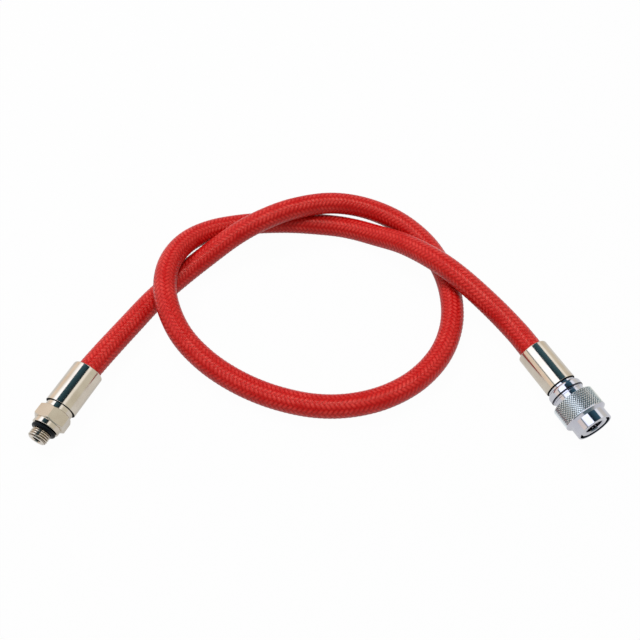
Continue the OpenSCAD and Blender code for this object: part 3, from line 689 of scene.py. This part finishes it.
off_centre = maths(laid, "ABSOLUTE", maths(laid, "MULTIPLY_ADD", in_strand, 2.0, -1.0))
laid.links.new(maths(laid, "SUBTRACT", 1.0, maths(laid, "POWER", off_centre, 2.0)), result["Crown"])
strand = maths(laid, "ADD", maths(laid, "FLOOR", shown), LOT_OFFSET)
tagged = maths(laid, "ADD", maths(laid, "MODULO", strand, DYE_LOTS),
               maths(laid, "MULTIPLY", right_on_top, OTHER_HAND))
dye = add(laid, "TexWhiteNoise", {"W": tagged}, noise_dimensions="1D").outputs["Value"]
laid.links.new(maths(laid, "MULTIPLY", dye, given["Dye Spread"]), result["Dye"])
yarns_across = maths(laid, "MULTIPLY", in_strand, given["Yarns"])
yarn = maths(laid, "SINE", maths(laid, "MULTIPLY", yarns_across, 2 * math.pi))
laid.links.new(maths(laid, "ABSOLUTE", yarn), result["Height"])
print("group", laid.name, "has", len(laid.nodes), "nodes")

# %% [markdown]
# Moulded rubber is matt black with a grey bloom of wax and dust in soft patches.

# %% Effect: bloom on rubber
bloom, given, result = new_group(
    "rubber_bloom", [("Patch Size", 300.0), ("Amount", 0.4)], ["Mask", "Height"])
patch = spread(bloom, noise(bloom, given["Patch Size"], 5.0, 0.6), 0.45, 0.75)
bloom.links.new(maths(bloom, "MULTIPLY", patch, given["Amount"]), result["Mask"])
bloom.links.new(noise(bloom, 4000.0, 2.0), result["Height"])
print("group", bloom.name, "has", len(bloom.nodes), "nodes")

# %% [markdown]
# Each finish is a Principled shader fed by those effects. There are four kinds: plated metal,
# the same metal with painted shade in its grooves, rubber, and braided strands. A function for each
# kind takes its colours, so two finishes of a kind differ only in their numbers.

# %% Four kinds of finish
FINISHES = {}
SKIN_RELIEF, YARN_RELIEF = 0.02 * MM, 0.06 * MM
# Painted shade in the knurl's grooves grows between these shares of their depth.
PIT_SHADE_FROM, PIT_SHADE_FULL = 0.65, 0.92  # shares of a groove's depth


def socket_name(word):
    """Label of a socket, such as Specular IOR Level, from a word that Python can take."""
    return word.replace("_", " ").title().replace("Ior", "IOR")


def finish(name, **sockets):
    """New material in FINISHES with a Principled shader; sockets are set on the shader itself.

    The solids bring materials of the same names, so Blender adds a number to these.
    """
    material = bpy.data.materials.new(name)
    material.use_nodes = True
    FINISHES[name] = material
    tree = material.node_tree
    shader = next(n for n in tree.nodes if n.type == "BSDF_PRINCIPLED")
    for key, value in sockets.items():
        shader.inputs[socket_name(key)].default_value = value
    return tree, shader


def place(tree, group, **values):
    """Outputs of an effect's group, placed in a material with its own values."""
    node = tree.nodes.new("ShaderNodeGroup")
    node.node_tree = group
    for key, value in values.items():
        node.inputs[socket_name(key)].default_value = value
    return node.outputs


def relief(tree, shader, height, strength, distance):
    """Fine relief as a bump map; whatever shows in the outline is in the mesh instead."""
    bump = add(tree, "Bump", {"Height": height, "Strength": strength, "Distance": distance})
    tree.links.new(bump.outputs[0], shader.inputs["Normal"])


def plated(name, clean, hazed, roughness, cloudiness):
    """Bright metal with a faint bloom and rub marks from handling."""
    tree, shader = finish(name, metallic=1.0)
    out = place(tree, handling, roughness=roughness, bloom=cloudiness)
    tint = blend_colours(tree, out["Bloom Mask"], clean, hazed)
    tree.links.new(tint, shader.inputs["Base Color"])
    tree.links.new(out["Roughness"], shader.inputs["Roughness"])
    relief(tree, shader, out["Height"], 0.05, SKIN_RELIEF)


def knurled(name, crest, hollow_shade, roughness, cloudiness):
    """Plated metal with painted shade where the mesh's "groove" attribute says it lies deep."""
    tree, shader = finish(name, metallic=1.0)
    out = place(tree, handling, roughness=roughness, bloom=cloudiness)
    depth = add(tree, "Attribute", attribute_name="groove").outputs["Fac"]
    pit_shade = spread(tree, depth, PIT_SHADE_FROM, PIT_SHADE_FULL)
    tree.links.new(blend_colours(tree, pit_shade, crest, hollow_shade), shader.inputs["Base Color"])
    tree.links.new(out["Roughness"], shader.inputs["Roughness"])


def rubbery(name, deep, dusty, roughness, amount=0.4):
    """Matt rubber with dusty patches."""
    tree, shader = finish(name, roughness=roughness, specular_ior_level=0.14)
    out = place(tree, bloom, amount=amount)
    tree.links.new(blend_colours(tree, out["Mask"], deep, dusty), shader.inputs["Base Color"])
    relief(tree, shader, out["Height"], 0.2, SKIN_RELIEF)


def stranded(name, hollow_shade, crown, deep, painted_glint, yarns, dye_spread, **sockets):
    """Braided strands: dyed unevenly, with painted shade in the dips and a painted highlight on the
    floats' crowns.
    """
    tree, shader = finish(name, **sockets)
    out = place(tree, laid, yarns=yarns, dye_spread=dye_spread)
    # Painted shade: the strand's colour darkens towards the dips between strands.
    body = blend_colours(tree, out["Crown"], hollow_shade, crown)
    dyed = blend_colours(tree, out["Dye"], body, deep)
    # Painted highlight on the crown of each float, made uneven along the hose by a cloudy noise.
    uneven_glint = spread(tree, noise(tree, 120.0, 5.0, 0.65), 0.35, 0.65, 0.15, 1.0)
    glint_mask = maths(tree, "MULTIPLY", maths(tree, "MULTIPLY", out["Float"], out["Crown"]), uneven_glint)
    tree.links.new(blend_colours(tree, glint_mask, dyed, painted_glint), shader.inputs["Base Color"])
    relief(tree, shader, out["Height"], 0.3, YARN_RELIEF)


print("kinds of finish:", [kind.__name__ for kind in (plated, knurled, rubbery, stranded)])

# %% [markdown]
# The fittings are nickel plate, which is warm, and chrome, which is cooler. The grip is a paler,
# rougher chrome, with painted shade in its pits. Apart from painted shade in hollows, gaps and
# thread roots and painted highlights on the braid, the colours are those that the surfaces have in
# plain white light, so they hold under other lamps too.

# %% The finishes
plated("warm_nickel", (0.68, 0.62, 0.53, 1), (0.61, 0.54, 0.45, 1), 0.09, 0.05)
plated("bright_chrome", (0.63, 0.64, 0.69, 1), (0.56, 0.56, 0.63, 1), 0.07, 0.04)
# The grip's second colour is painted shade. It is laid in the knurl's pits and in the gap of the
# sleeve's mouth.
knurled("knurled_chrome", (0.91, 0.97, 1.0, 1), (0.01, 0.02, 0.03, 1), 0.23, 0.05)
# In both braids the first colour is painted shade for the dips and the fourth is a painted
# highlight for the floats' crowns.
stranded("cover_braid", (0.31, 0.002, 0.002, 1), (0.56, 0.003, 0.004, 1), (0.47, 0.002, 0.002, 1),
         (0.72, 0.050, 0.040, 1), 4.0, 0.8, roughness=0.30, specular_ior_level=0.42,
         specular_tint=(1.0, 0.60, 0.50, 1))
stranded("reinforcement_yarn", (0.35, 0.30, 0.20, 1), (0.80, 0.74, 0.60, 1),
         (0.70, 0.62, 0.48, 1), (0.88, 0.84, 0.74, 1), 3.0, 0.5, roughness=0.8)
rubbery("liner_rubber", (0.02, 0.02, 0.02, 1), (0.09, 0.09, 0.09, 1), 0.6)
rubbery("seal_rubber", (0.002, 0.005, 0.008, 1), (0.010, 0.018, 0.022, 1), 0.34, amount=0.3)
# Painted shade for the thread's roots, so that dark lines lie between the crests.
plated("thread_root_shade", (0.22, 0.18, 0.15, 1), (0.12, 0.09, 0.07, 1), 0.35, 0.1)
# Painted shade for gaps, as a near-black matt finish: the seam at the flange, the tail by the
# ferrule and the recess under each ferrule's rim.
rubbery("painted_gap_shade", (0.003, 0.003, 0.004, 1), (0.01, 0.01, 0.01, 1), 0.5)
plated("core_brass", (0.80, 0.60, 0.28, 1), (0.60, 0.42, 0.20, 1), 0.2, 0.1)
rubbery("core_gasket", (0.50, 0.03, 0.02, 1), (0.60, 0.12, 0.09, 1), 0.5)
plated("spring_steel", (0.55, 0.55, 0.56, 1), (0.40, 0.40, 0.42, 1), 0.25, 0.1)
plated("ball_steel", (0.42, 0.42, 0.45, 1), (0.34, 0.34, 0.38, 1), 0.12, 0.05)
print("finishes:", list(FINISHES))

# %% [markdown]
# Every solid of the frame gets a finish too, also where a new piece replaces it. The solids
# that still show, such as the body and the O-rings, have only that.

# %% Dressing the pieces
def dress(piece, slot):
    """Give the piece one finish all over."""
    piece.data.materials.clear()
    piece.data.materials.append(FINISHES[slot])


SLOT_OF = {
    "stud_fitting": "warm_nickel", "port_o_ring": "seal_rubber", "stud_ferrule": "warm_nickel",
    "hose_liner": "liner_rubber", "hose_reinforcement": "reinforcement_yarn",
    "hose_cover": "cover_braid", "coupler_ferrule": "warm_nickel", "coupler_stem": "bright_chrome",
    "stem_o_ring": "seal_rubber", "coupler_body": "bright_chrome", "socket_o_ring": "seal_rubber",
    "release_sleeve": "bright_chrome", "sleeve_spring": "spring_steel",
    "retaining_ring": "spring_steel", "core_plug": "core_brass", "core_gasket": "core_gasket",
    "core_pin": "core_brass", "core_seal": "seal_rubber", "core_spring": "spring_steel",
}
NEW_PIECES = (
    (braided_cover, "cover_braid"), (rubber_liner, "liner_rubber"),
    (woven_layer, "reinforcement_yarn"), (stud_sleeve, "warm_nickel"),
    (coupler_sleeve, "warm_nickel"), (stud_body, "warm_nickel"),
    (knurled_sleeve, "bright_chrome"), (coupler_tail, "bright_chrome"),
    (sleeve_coil, "spring_steel"), (core_coil, "spring_steel"),
)
for node_name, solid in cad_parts.items():
    dress(solid, SLOT_OF.get(node_name, "ball_steel"))
for piece, slot in NEW_PIECES:
    dress(piece, slot)
print("dressed", len(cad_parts), "solids and", len(NEW_PIECES), "new pieces")

# %% [markdown]
# Some pieces need a second finish on part of their faces: the sleeve's grip, with painted shade in
# its pits and in the gap of its mouth, the thread's roots painted dark as shade, and painted shade
# at the seam, on the tail by the ferrule and under the ferrules' rims.
# Radius and station tell those faces apart, so nothing has to be selected by hand.

# %% Second finishes
GRIP_SKIN_R, FLANGE_SKIN_R = 9.9, 7.7  # faces further out than this are on the outside
STEM_SKIN_R, THREAD_BORE_R = 6.0, 3.9
ROOT_SHADE_BELOW = THREAD_R - 0.44


def second_finish(piece, fitting, slot, chosen):
    """Give another finish to the faces for which chosen(radius, station) is true."""
    radius, station = off_axis(piece.data, fitting)
    piece.data.materials.append(FINISHES[slot])
    for face in piece.data.polygons:
        corners = list(face.vertices)
        face.material_index = int(chosen(radius[corners].mean(), station[corners].mean()))
    count = sum(face.material_index for face in piece.data.polygons)
    print(piece.name, "has", slot, "on", count, "faces")


# The grip and the sleeve's mouth get the finish that paints shade in the pits and in the mouth's
# gap.
second_finish(knurled_sleeve, COUPLER, "knurled_chrome",
              lambda r, t: (r > GRIP_SKIN_R and KNURL_FROM < t < KNURL_TO)
              or (r < MOUTH_R + 0.02 and t < KNURL_FROM))
# The flange's face at the seam and the tail by the ferrule get painted shade.
second_finish(coupler_tail, COUPLER, "painted_gap_shade",
              lambda r, t: (r > FLANGE_SKIN_R and t < SEAM + 0.5)
              or (r > STEM_SKIN_R and t > SHADED_FROM))
# The thread's roots get painted shade.
second_finish(stud_body, STUD, "thread_root_shade",
              lambda r, t: THREAD_BORE_R < r < ROOT_SHADE_BELOW and 0.2 < t < THREAD_LEN + 0.1)
# The recess under each ferrule's rim gets painted shade.
second_finish(stud_sleeve, STUD, "painted_gap_shade",
              lambda r, t: r < RIM_EDGE_R and t < STUD_NECK + 0.1)
second_finish(coupler_sleeve, COUPLER, "painted_gap_shade",
              lambda r, t: r < RIM_EDGE_R and t < COUPLER_NECK + 0.1)

# %% [markdown]
# The bench is a plain white sheet. The camera sees it glow, so that it stays white, and the
# small share of matt paper left in it keeps the hose's faint shadow. Polished metal sees a mix
# of the two. Light Path tells the rays apart, so the glow itself lights no matt surface.

# %% The bench
HALF_BENCH = 3  # metres
GLOW_TO_CAMERA, GLOW_TO_MIRRORS = 0.975, 0.58


def ray_kinds(tree):
    """Whether a ray comes from the camera, and whether a mirror or glass sent it on."""
    sight = add(tree, "LightPath").outputs
    mirrored = maths(tree, "MAXIMUM", sight["Is Glossy Ray"], sight["Is Transmission Ray"])
    return sight["Is Camera Ray"], mirrored


bench_points = [(-HALF_BENCH, -HALF_BENCH, 0), (HALF_BENCH, -HALF_BENCH, 0),
                (HALF_BENCH, HALF_BENCH, 0), (-HALF_BENCH, HALF_BENCH, 0)]
bench_mesh = bpy.data.meshes.new("bench")
bench_mesh.from_pydata(bench_points, [], [(0, 1, 2, 3)])
bench = bpy.data.objects.new("bench", bench_mesh)
bpy.context.scene.collection.objects.link(bench)
paper = bpy.data.materials.new("white_sheet")
paper.use_nodes = True
tree = paper.node_tree
tree.nodes.clear()
matt = add(tree, "BsdfDiffuse", {"Color": (0.7, 0.7, 0.71, 1)}).outputs[0]
glow = add(tree, "Emission", {"Color": (1, 1, 1, 1), "Strength": 1.0}).outputs[0]
from_camera, mirrored = ray_kinds(tree)
share = maths(tree, "MAXIMUM", maths(tree, "MULTIPLY", from_camera, GLOW_TO_CAMERA),
              maths(tree, "MULTIPLY", mirrored, GLOW_TO_MIRRORS))
mixed = add(tree, "MixShader", {0: share, 1: matt, 2: glow}).outputs[0]
add(tree, "OutputMaterial", {"Surface": mixed})
bench_mesh.materials.append(paper)
print("the bench is", 2 * HALF_BENCH, "m wide")

# %% [markdown]
# Polished metal shows whatever stands round it, so it gets a whole white tent to mirror. The
# tent is open at the top and in a slit down its back, and the metal shows that opening as one
# dark blue-green stripe. A bright window, a glowing rim, a seam and the darker room in front
# give the small changes along a cylinder that make it look round. Matt surfaces get one plain
# grey from it instead, so that a colour renders about as it is written.

# %% The tent
OPENING, WINDOW = (0.08, 0.30, 0.95), (-0.45, 0.10, 0.88)
LOW_WALL, HIGH_WALL = (1.04, 0.89, 0.78, 1), (0.95, 0.94, 0.90, 1)
RIGHT_WALL, ROOM = (0.76, 0.74, 0.66, 1), (0.14, 0.20, 0.22, 1)
GLARE, RIM, SEAM_SHADE = (1.65, 1.72, 1.95, 1), (1.20, 1.20, 1.20, 1), (0.20, 0.27, 0.29, 1)
DEEP_NEAR, DEEP_FAR = (0.006, 0.016, 0.024, 1), (0.055, 0.14, 0.195, 1)
PLAIN_GREY, WHITE = (0.50, 0.50, 0.50, 1), (1, 1, 1, 1)

world = bpy.data.worlds.new("light_tent")
bpy.context.scene.world = world
world.use_nodes = True
tree = world.node_tree
tree.nodes.clear()
direction = add(tree, "TexCoord").outputs["Generated"]
rightward, backward, upward = add(tree, "SeparateXYZ", {0: direction}).outputs


def towards(aim):
    """Cosine of the angle between a ray and an aim."""
    aim = Vector(aim).normalized()
    return add(tree, "VectorMath", {0: direction, 1: tuple(aim)},
               operation="DOT_PRODUCT").outputs["Value"]


def disc(facing, outer, inner):
    """1 up to the inner angle from an aim, in degrees, and 0 from the outer one."""
    return spread(tree, facing, math.cos(math.radians(outer)), math.cos(math.radians(inner)))


def overlap(*masks):
    """1 where every mask is 1."""
    result = masks[0]
    for mask in masks[1:]:
        result = maths(tree, "MULTIPLY", result, mask)
    return result


to_opening, to_window = towards(OPENING), towards(WINDOW)
tent = blend_colours(tree, spread(tree, upward, 0.3, 0.65), LOW_WALL, HIGH_WALL)
tent = blend_colours(tree, spread(tree, rightward, 0.3, 0.8), tent, RIGHT_WALL)
tent = blend_colours(tree, spread(tree, backward, -0.35, -0.65), tent, ROOM)
tent = blend_colours(tree, disc(to_window, 40, 25), tent, GLARE)
tent = blend_colours(
    tree, overlap(disc(to_opening, 46, 36), spread(tree, rightward, -0.1, 0.1)), tent, RIM)
seam = overlap(spread(tree, upward, 0.42, 0.45), spread(tree, upward, 0.54, 0.51),
               spread(tree, rightward, -0.2, -0.4), spread(tree, backward, 0.35, 0.15))
tent = blend_colours(tree, seam, tent, SEAM_SHADE)
deep = blend_colours(tree, spread(tree, backward, 0.12, 0.5), DEEP_NEAR, DEEP_FAR)
off_slit = maths(tree, "ABSOLUTE", maths(tree, "SUBTRACT", rightward, 0.02))
slit = overlap(spread(tree, off_slit, 0.24, 0.20), spread(tree, backward, 0.24, 0.30))
tent = blend_colours(tree, maths(tree, "MAXIMUM", disc(to_opening, 25, 23), slit), tent, deep)
from_camera, mirrored = ray_kinds(tree)
plain = blend_colours(tree, from_camera, PLAIN_GREY, WHITE)
sky = add(tree, "Background", {"Color": blend_colours(tree, mirrored, plain, tent)}).outputs[0]
add(tree, "OutputWorld", {"Surface": sky})
print("the tent has", len(tree.nodes), "nodes")

# %% [markdown]
# One square lamp above the work models the shapes. It is hidden from reflections, because each
# facet of the knurl would flash with it. A smaller lamp lights the braid alone and gives its
# yarns their fine glints: light linking lets a lamp reach only the pieces of one collection.

# %% The lamps
LAMP_AIM = (0, 0.05, 0)


def lamp(name, place_at, size, watts):
    """Square lamp that shines at the middle of the part."""
    data = bpy.data.lights.new(name, "AREA")
    data.shape, data.size, data.energy = "SQUARE", size, watts
    made = bpy.data.objects.new(name, data)
    bpy.context.scene.collection.objects.link(made)
    made.location = place_at
    heading = Vector(LAMP_AIM) - Vector(place_at)
    made.rotation_euler = heading.to_track_quat("-Z", "Y").to_euler()
    print(name, "gives", watts, "W from", round(heading.length, 2), "m")
    return made


top_lamp = lamp("top_lamp", (-0.40, 0.50, 1.00), 0.5, 6.0)
top_lamp.visible_glossy = False
glint_lamp = lamp("glint_lamp", (0.12, -0.02, 1.05), 0.25, 3.0)
woven_only = bpy.data.collections.new("lit_by_glint_lamp")
woven_only.objects.link(braided_cover)
glint_lamp.light_linking.receiver_collection = woven_only
bpy.context.scene.view_settings.view_transform = "Standard"
